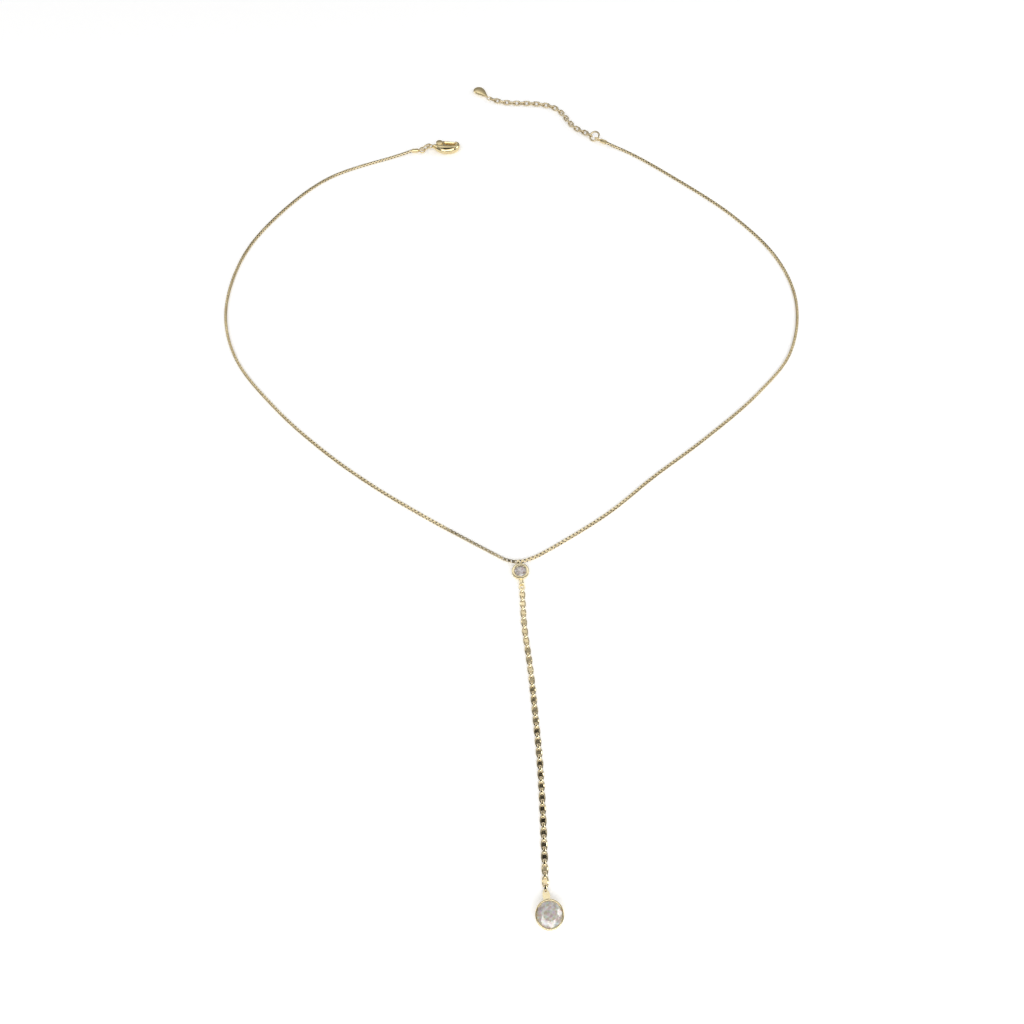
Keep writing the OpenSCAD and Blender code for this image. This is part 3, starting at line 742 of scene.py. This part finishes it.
@dataclass
class DropChain(Piece):
    """The drop: oval plates with a raised mirror flat, joined by upright wire links."""

    route: Route
    count: int = 28
    plate_len: float = 2.16
    plate_w: float = 1.45
    plate_t: float = 0.27
    lug_t: float = 0.16
    lug_wall: float = 0.18
    space: float = 0.23
    wire: float = 0.25
    strip: float = 0.52
    link_h: float = 1.1
    slot_len: float = 0.5
    slot_w: float = 0.6
    slot_round: float = 0.15
    oval: float = 1.3
    bevel: float = 0.05
    edge: float = 0.02
    flat: Pair = (0.6, 0.66)
    first: float = 0.61
    z: float = 0.55
    sway_deg: Pair = (1.6, 0.9)
    raised_plates: int = 3
    raise_z: float = 0.05
    raise_deg: float = 5.5

    @property
    def pitch(self) -> float:
        """Distance from plate to plate."""
        return self.plate_len + self.space

    def plate(self) -> bpy.types.Object:
        """One plate: an oval disc with cut ends, a raised flat and a slot near each end."""
        Bench.clear()
        bpy.ops.mesh.primitive_circle_add(vertices=32, radius=1, fill_type="NGON")
        obj = bpy.context.object
        end = self.plate_len / 2
        with Bench.editing(obj):
            Bench.pick_all()
            Bench.stretch(self.oval * end, self.plate_w / 2, 1)
            Bench.move(0, 0, -self.lug_t / 2)
            for way in (1, -1):
                Bench.pick_all()
                bpy.ops.mesh.bisect(plane_co=(way * end, 0, 0), plane_no=(way, 0, 0),
                                    clear_outer=True)
            Bench.pick_all()
            Bench.pull(0, 0, self.lug_t)
            Bench.face_out()
            Bench.pick(obj, "FACE", lambda f: f.normal.z > 0.9)
            bpy.ops.mesh.inset(thickness=self.bevel)
            Bench.pull(0, 0, self.plate_t - self.lug_t)
            Bench.stretch(*self.flat, 1)
        slots = [Bench.block("slot", (self.slot_len, self.slot_w, 2),
                             (way * (end - self.lug_wall - self.slot_len / 2), 0, 0))
                 for way in (1, -1)]
        for slot in slots:
            Bench.soften(slot, self.slot_round, 3)
            Bench.combine(obj, slot, "DIFFERENCE")
        Bench.soften(obj, self.edge, 1)
        return obj

    def build(self) -> bpy.types.Object:
        """Lay plates and links along the route."""
        plates, links = [], []
        for i in range(self.count):
            at, heading = self.route.chord(self.first + (i + 0.5) * self.pitch, self.pitch / 2)
            raised = max(0, i - self.count + self.raised_plates)
            roll = self.sway_deg[0] * math.sin(2.3 * i)
            climb = self.sway_deg[1] * math.sin(1.7 * i) + self.raise_deg * raised
            plates.append(lie(at, self.z + self.raise_z * raised, heading, math.radians(roll),
                              math.radians(climb)))
        for i in range(self.count + 1):
            at, heading = self.route.chord(self.first + i * self.pitch, self.pitch / 2)
            links.append(lie(at, self.z, heading, math.pi / 2))
        link = Bench.wire_link("drop_link", self.first, (self.link_h - self.wire) / 2, self.wire,
                               24, 10, self.strip)
        return Bench.joined(self.name, Bench.repeated(self.plate(), plates)
                            + Bench.repeated(link, links))


@dataclass
class ExtenderChain(Piece):
    """The extender: oval links of round wire that lean left and right in turn."""

    route: Route
    count: int = 25
    half: float = 1.175
    side: float = 0.65
    wire: float = 0.5
    pitch: float = 1.75
    first: float = 0.445
    lean: float = 32.0
    start_z: float = 0.95
    z: float = 0.8
    rise_links: int = 5

    def build(self) -> bpy.types.Object:
        """Lay all links along the route."""
        matrices = []
        for i in range(self.count):
            s = self.first + i * self.pitch
            at, heading = self.route.chord(s, self.pitch / 2)
            roll = math.radians(90 - self.lean if i % 2 == 0 else -self.lean)
            z = self.z + (self.start_z - self.z) * max(
                0.0, 1 - s / (self.rise_links * self.pitch))
            matrices.append(lie(at, z, heading, roll))
        link = Bench.wire_link("extender_link", self.half, self.side, self.wire, 28, 12)
        return Bench.joined(self.name, Bench.repeated(link, matrices))


@dataclass
class ExtenderTag(Piece):
    """The plain teardrop at the extender's end, with its eye."""

    at: Pair
    heading_deg: float = 130.0
    z: float = 0.8
    length: float = 6.95
    width: float = 4.2
    thick: float = 1.3
    eye_side: float = 0.85
    eye_wire: float = 0.3
    neck_r: float = 0.15
    swell: float = 1.13

    def build(self) -> bpy.types.Object:
        """Draw the teardrop out from its neck and add the eye."""
        neck = self.eye_side + self.eye_wire / 2
        belly = self.width / 2
        centre = neck + self.length - belly
        sections = []
        for share in (0.0, 0.2, 0.4, 0.6, 0.78):
            x = neck + (centre - neck) * share
            sections.append((x, 0, self.neck_r + (belly - self.neck_r) * self.swell * share,
                             self.neck_r + (self.thick / 2 - self.neck_r) * share))
        for angle in (78, 60, 42, 25, 10):
            a = math.radians(angle)
            sections.append((centre + belly * math.cos(a), 0, belly * math.sin(a),
                             self.thick / 2 * math.sin(a) ** 0.8))
        drop = Bench.drawn("drop", sections, 24)
        Bench.apply(drop, "SUBSURF", levels=1, render_levels=1)
        eye = Bench.wire_link("tag_eye", self.eye_side, self.eye_side, self.eye_wire, 40, 12)
        obj = Bench.joined(self.name, [drop, eye])
        return Bench.placed(obj, lie(self.at, self.z, math.radians(self.heading_deg)))


@dataclass
class ClaspBody(Piece):
    """The clasp without its lever: the claw, two cheeks with the pin between them, and the eye."""

    at: Pair
    heading_deg: float = -5.0
    length: float = 10.3
    thick: float = 2.6
    pin: Pair = (3.3, 0.85)
    pin_d: float = 0.6
    cheek_r: float = 1.2
    lever_slot: float = 1.32
    hub_room: float = 0.77
    eye_side: float = 0.95
    eye_wire: float = 0.4
    cheek_edge: float = 0.25
    cheek_core: float = 0.05
    pin_inset: float = 0.12

    def claw(self) -> bpy.types.Object:
        """The claw, drawn out through sections along a hooked line."""
        table = ((0.092, 0, 0.45, 0.4), (0.184, -0.1, 0.75, 0.7), (0.31, -0.8, 1.25, 0.92),
                 (0.465, -1.05, 1.85, 1), (0.62, -1.2, 1.7, 1), (0.776, -1.02, 1.27, 0.96),
                 (0.893, -0.25, 0.85, 0.88), (0.94, 0.9, 0.65, 0.77), (0.903, 1.9, 0.48, 0.62),
                 (0.825, 2.4, 0.36, 0.46))
        rows = [Vector((share * self.length, y, wide, high * self.thick / 2))
                for share, y, wide, high in table]
        rows = [2 * rows[0] - rows[1], *rows, 2 * rows[-1] - rows[-2]]
        sections = [tuple(Route.between(rows[i - 1:i + 3], k / 3))
                    for i in range(1, len(rows) - 2) for k in range(3)]
        sections.append(tuple(rows[-2]))
        return Bench.drawn("claw", sections, 24)

    def build(self) -> bpy.types.Object:
        """Unite claw and cheeks, cut the lever's slot and add pin and eye."""
        x, y = self.pin
        t, r, edge, core = self.thick / 2, self.cheek_r, self.cheek_edge, self.cheek_core
        body = self.claw()
        cheek = Bench.turned("cheek", ((core, -t), (r - edge, -t), (r - edge / 3, -t + edge / 3),
                                       (r, -t + edge), (r, t - edge), (r - edge / 3, t - edge / 3),
                                       (r - edge, t), (core, t)), 48)
        core += CLEAR_MM
        with Bench.editing(cheek):
            Bench.pick(cheek, "FACE", lambda f: all(v.co.xy.length < core for v in f.verts))
            bpy.ops.mesh.delete(type="FACE")
            for way in (1, -1):
                Bench.pick(cheek, "VERT", lambda v: v.co.xy.length < core and v.co.z * way > 0)
                bpy.ops.mesh.merge(type="CENTER")
            Bench.face_out()
        Bench.combine(body, Bench.placed(cheek, Matrix.Translation((x, y, 0))), "UNION")
        room = self.hub_room
        for name, size, at in (
                ("slot_far", (room / 2 + r + 1, r + 1, self.lever_slot),
                 (x - room / 2 + (room / 2 + r + 1) / 2, y + (r + 1) / 2, 0)),
                ("slot_front", (r + 1, 2 * room, self.lever_slot), (x + (r + 1) / 2, y, 0))):
            Bench.combine(body, Bench.block(name, size, at), "DIFFERENCE")
        Bench.clear()
        bpy.ops.mesh.primitive_cylinder_add(vertices=48, radius=room, depth=self.lever_slot)
        Bench.combine(body, Bench.placed(bpy.context.object, Matrix.Translation((x, y, 0))),
                      "DIFFERENCE")
        Bench.clear()
        bpy.ops.mesh.primitive_cylinder_add(vertices=32, radius=self.pin_d / 2,
                                            depth=self.thick - self.pin_inset)
        pin = Bench.placed(bpy.context.object, Matrix.Translation((x, y, 0)))
        eye = Bench.wire_link("clasp_eye", self.eye_side, self.eye_side, self.eye_wire, 40, 14)
        obj = Bench.joined(self.name, [body, pin, eye])
        return Bench.placed(obj, lie(self.at, self.thick / 2, math.radians(self.heading_deg)))


@dataclass
class Bezel:
    """A tapered cup with a rolled rim, a seat for the stone and an open back."""

    d: float
    h: float
    stone_d: float
    gap: float = 0.06
    lip_w: float = 0.14
    foot_share: float = 0.78
    girdle_t: float = 0.08
    lip_drop: float = 0.2
    pavilion_rise: float = 0.41
    hole_share: float = 0.26
    rim_h: float = 0.26
    fullness: float = 1.0

    def build(self) -> bpy.types.Object:
        """Turn the cup about its own axis."""
        girdle = self.h - self.lip_drop
        seat = self.stone_d / 2 + self.gap
        shelf = girdle - self.girdle_t - self.gap
        slope = 2 * self.pavilion_rise
        hole = self.stone_d * self.hole_share
        r = self.d / 2
        middle, half = (r + seat - self.lip_w) / 2, (r - seat + self.lip_w) / 2
        return Bench.turned("bezel", (
            (hole, 0), (r * self.foot_share - 0.06, 0), (r * self.foot_share, 0.05),
            (r * (0.3 + 0.7 * self.foot_share), self.h * 0.16),
            (r * (0.78 + 0.22 * self.foot_share), self.h * 0.42), (r - 0.01, self.h * 0.6),
            *((middle + half * math.cos(math.radians(a)),
               self.h - self.rim_h + self.rim_h * math.sin(math.radians(a)) ** self.fullness)
              for a in range(0, 181, 20)),
            (seat - 0.02, girdle + self.gap / 2), (seat, girdle), (seat, shelf),
            (seat - 0.1, shelf - 0.1 * slope),
            (hole, shelf - (seat - hole) * slope - self.gap / 2)), 96)


@dataclass
class SmallSetting(Piece):
    """The small bezel with the bail that holds the chain, its stem and the stem's eye."""

    at: Pair
    heading_deg: float = -85.0
    d: float = 4.3
    h: float = 1.65
    stone_d: float = 3.0
    stem_w: float = 1.4
    stem_len: float = 1.1
    stem_high: float = 0.42
    stem_drop: float = 0.8
    eye_hole_d: float = 0.9
    eye_wall: float = 0.34
    eye_t: float = 0.2
    eye_z: float = 0.55
    eye_edge: float = 0.05
    bail_wire: float = 0.14
    bail_hole: float = 1.17
    bail_z: float = 0.8857
    chain_off: float = 0.75

    def stem(self) -> bpy.types.Object:
        """The stem: a waisted oval bar from the bezel to the eye."""
        half, high = self.stem_w / 2, self.stem_high
        bar = Bench.drawn("stem", (
            (-0.3, 0, half, high), (0.1, 0, 0.82 * half, high), (0.5, 0, 0.78 * half, high),
            (0.85, 0, 0.9 * half, high), (1.05, 0, half, high), (1.2, 0, 0.95 * half, 0.85 * high),
            (1.28, 0, 0.8 * half, 0.55 * high)), 24)
        return Bench.placed(bar, Matrix.Translation((self.d / 2, 0, self.h - self.stem_drop)))

    def build(self) -> bpy.types.Object:
        """Join bezel, stem, eye and bail."""
        eye_r, hole = self.eye_hole_d / 2 + self.eye_wall, 0.4 * self.eye_hole_d
        t, e = self.eye_t / 2, self.eye_edge
        eye = Bench.turned("stem_eye", (
            (hole, -t + e), (hole + e, -t), (eye_r - e, -t), (eye_r, -t + e), (eye_r, t - e),
            (eye_r - e, t), (hole + e, t), (hole, t - e)), 48)
        Bench.placed(eye, Matrix.Translation((self.d / 2 + self.stem_len + eye_r, 0, self.eye_z)))
        side = self.bail_hole / 2 + self.bail_wire / 2
        bail = Bench.wire_link("bail", side, side, self.bail_wire, 48, 12)
        Bench.placed(bail, Matrix.Translation((-(self.d / 2 + self.chain_off), 0, self.bail_z))
                     @ Matrix.Rotation(math.pi / 2, 4, "X"))
        bezel = Bezel(self.d, self.h, self.stone_d, fullness=0.3).build()
        obj = Bench.joined(self.name, [bezel, self.stem(), eye, bail])
        return Bench.placed(obj, lie(self.at, 0, math.radians(self.heading_deg)))


@dataclass
class LargeSetting(Piece):
    """The large bezel with the flat tab that takes the drop's last link."""

    at: Pair
    heading_deg: float = -81.5
    d: float = 5.8
    h: float = 2.5
    stone_d: float = 5.1
    tab_w: float = 1.5
    tab_len: float = 2.05
    tab_t: float = 0.2
    tab_z: float = 0.55
    tab_rise: float = 0.2
    tab_under: float = 0.7
    ridge: float = 0.06
    slot_d: float = 0.5
    slot_extra: float = 0.15
    slot_round: float = 0.22
    edge: float = 0.03
    lug_wall: float = 0.18

    def tab(self) -> bpy.types.Object:
        """The tab: an oval plate with a low ridge along its middle and a hole at its tip."""
        tip = -(self.d / 2 + self.tab_len)
        half = (self.tab_len + self.tab_under) / 2
        Bench.clear()
        bpy.ops.mesh.primitive_circle_add(vertices=48, radius=1, fill_type="NGON")
        obj = bpy.context.object
        with Bench.editing(obj):
            Bench.pick_all()
            Bench.stretch(half, self.tab_w / 2, 1)
            Bench.pull(0, 0, self.tab_t)
            Bench.pick_all()
            bpy.ops.mesh.bisect(plane_co=(0, 0, 0), plane_no=(0, 1, 0))
            Bench.face_out()
            Bench.pick(obj, "VERT", lambda v: abs(v.co.y) < SLACK_MM and v.co.z > CLEAR_MM)
            Bench.move(0, 0, self.ridge)
        Bench.placed(obj, Matrix.Translation((tip, 0, self.tab_z - self.tab_t / 2))
                     @ Matrix.Rotation(-self.tab_rise, 4, "Y") @ Matrix.Translation((half, 0, 0)))
        hole = Bench.block("tab_hole", (self.slot_d, self.slot_d + self.slot_extra, 3),
                           (tip + self.lug_wall + self.slot_d / 2, 0, 0))
        Bench.soften(hole, self.slot_round, 4)
        Bench.combine(obj, hole, "DIFFERENCE")
        Bench.soften(obj, self.edge, 1)
        return obj

    def build(self) -> bpy.types.Object:
        """Join bezel and tab."""
        bezel = Bezel(self.d, self.h, self.stone_d).build()
        obj = Bench.joined(self.name, [bezel, self.tab()])
        return Bench.placed(obj, lie(self.at, 0, math.radians(self.heading_deg)))


@dataclass
class CarriedParts:
    """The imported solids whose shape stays: they only get their finishes."""

    nodes: dict[str, bpy.types.Object]

    def dress(self, names: Sequence[str], finish: bpy.types.Material) -> None:
        """Give solids a finish.

        Args:
            names: The solids' names.
            finish: Their material.
        """
        for name in names:
            obj = self.nodes[name]
            if obj.material_slots:
                for place in obj.material_slots:
                    place.material = finish
            else:
                obj.data.materials.append(finish)
            log.info("%s: kept", name)


@dataclass
class Studio:
    """Camera, pale floor, soft lights and the room's glow."""

    camera_at: tuple[float, float, float] = (0.0002, -0.1562, 0.1912)
    camera_tilt_deg: float = 31.16
    lens: float = 30.73
    floor_size: float = 3.0
    floor_glow: float = 0.24
    paper_grain_mm: float = 2.5
    room_low: Colour = (0.25, 0.25, 0.255)
    room_top: Colour = (0.05, 0.048, 0.045)
    room_stops: tuple[Pair, ...] = ((0.5, 0.35), (0.7, 0.55), (0.8, 1.0), (0.86, 1.3), (0.9, 1.3),
                                    (0.926, 0.8), (0.943, 0.1))

    def camera(self) -> None:
        """Set up the camera at the photograph's angle."""
        data = bpy.data.cameras.new("view_camera")
        data.lens = self.lens
        data.sensor_width = 36.0
        data.clip_start = 0.01
        obj = bpy.data.objects.new("view_camera", data)
        obj.location = self.camera_at
        obj.rotation_euler = (math.radians(self.camera_tilt_deg), 0, 0)
        bpy.context.scene.collection.objects.link(obj)
        bpy.context.scene.camera = obj

    def floor(self) -> None:
        """Lay the pale floor."""
        Bench.clear()
        bpy.ops.mesh.primitive_plane_add(size=self.floor_size)
        obj = bpy.context.object
        obj.name = "pale_floor"
        made = bpy.data.materials.new("pale_paper")
        graph = Graph(made)
        shader = graph.nodes["Principled BSDF"]
        Graph.fill(shader, Roughness=0.9, Specular_IOR_Level=0.1, Emission_Color=(1, 1, 1, 1),
                   Emission_Strength=self.floor_glow)
        grain = graph.grain(self.paper_grain_mm, 2.0)
        tint = graph.ramp(0.0, (0.93, 0.93, 0.93), 1.0, (0.96, 0.96, 0.96))
        graph.chain(graph.place(), (grain, "Vector", "Fac"), (tint, "Fac", "Color"),
                    (shader, "Base Color", ""))
        obj.data.materials.append(made)

    def lamp(self, name: str, at: Sequence[float], size: float, watts: float) -> None:
        """Hang one soft square lamp that faces the middle of the floor.

        Args:
            name: What the lamp is called.
            at: Its place in metres.
            size: Its side in metres.
            watts: Its power.
        """
        data = bpy.data.lights.new(name, "AREA")
        data.size = size
        data.energy = watts
        obj = bpy.data.objects.new(name, data)
        obj.location = at
        obj.rotation_euler = (-Vector(at)).to_track_quat("-Z", "Y").to_euler()
        bpy.context.scene.collection.objects.link(obj)

    def glow(self) -> None:
        """Light the room: brightest high up behind the necklace, dark straight overhead."""
        world = bpy.data.worlds.new("room")
        graph = Graph(world)
        back = graph.nodes["Background"]
        parts = graph.add("SeparateXYZ")
        ahead = graph.add("MapRange", From_Min=0.2, From_Max=0.4, To_Min=0.4, To_Max=1.0)
        ramp = graph.ramp(0.0, self.room_low, 1.0, self.room_top)
        for position, value in self.room_stops:
            stop = ramp.color_ramp.elements.new(position)
            stop.color = (value, value, value * 0.99, 1)
        graph.chain(graph.place("Generated"), (parts, "Vector", "Z"), (ramp, "Fac", "Color"),
                    (back, "Color", ""))
        graph.chain(parts.outputs["Y"], (ahead, "Value", "Result"), (back, "Strength", ""))
        bpy.context.scene.world = world

    def build(self) -> None:
        """Set up the whole studio."""
        bpy.context.scene.view_settings.view_transform = "Standard"
        self.camera()
        self.floor()
        self.lamp("front_right", (0.42, -0.75, 0.7), 0.9, 5.6)
        self.lamp("front_left", (-0.42, -0.75, 0.7), 0.9, 5.2)
        self.lamp("window_right", (0.8, 0.1, 0.35), 0.4, 1.6)
        self.lamp("window_left", (-0.8, 0.3, 0.4), 0.4, 0.8)
        self.glow()


def main() -> None:
    """Build the studio and every piece in order."""
    logging.basicConfig(level=logging.INFO, format="%(message)s")
    Studio().build()
    chain_gold, plate_gold = CHAIN_GOLD.material(), PLATE_GOLD.material()
    cast_gold, wire_gold = CAST_GOLD.material(), WIRE_GOLD.material()
    inside_painted_shade, rim_gold = INSIDE_PAINTED_SHADE.material(), RIM_GOLD.material()
    left = Route(LEFT_ROUTE, before=RIGHT_ROUTE[1])
    right = Route(RIGHT_ROUTE, before=LEFT_ROUTE[1])
    gold = Slot.GOLD
    BoxChain("box_chain_left_links", Side.LEFT, left, math.radians(LEFT_CAP_DEG),
             LEFT_TWIST).dress(chain_gold, gold, "box_chain_left", inside=inside_painted_shade)
    BoxChain("box_chain_right_links", Side.RIGHT, right, math.radians(RIGHT_CAP_DEG),
             RIGHT_TWIST).dress(chain_gold, gold, "box_chain_right", inside=inside_painted_shade)
    DropChain("drop_plates", Route(DROP_ROUTE, DROP_START)).dress(
        plate_gold, gold, "drop_chain", smooth_deg=18)
    ExtenderChain("extender_links", Route(EXTENDER_ROUTE, EXTENDER_START)).dress(
        wire_gold, gold, "extender_chain")
    ExtenderTag("extender_drop", TAG_MM).dress(cast_gold, gold, "extender_tag")
    ClaspBody("clasp_claw", CLASP_MM).dress(cast_gold, gold, "clasp_body")
    SmallSetting("small_bezel", SMALL_MM).dress(rim_gold, gold, "small_setting")
    LargeSetting("large_bezel", LARGE_MM).dress(rim_gold, gold, "large_setting")
    carried = CarriedParts(frame["nodes"])
    carried.dress(("end_cap_left", "end_cap_right", "clasp_lever"), cast_gold)
    carried.dress(("clasp_ring", "extender_ring"), wire_gold)
    carried.dress(("small_stone",), SMALL_STONE.material())
    carried.dress(("large_stone",), WHITE_STONE.material())


if __name__ == "__main__":
    main()
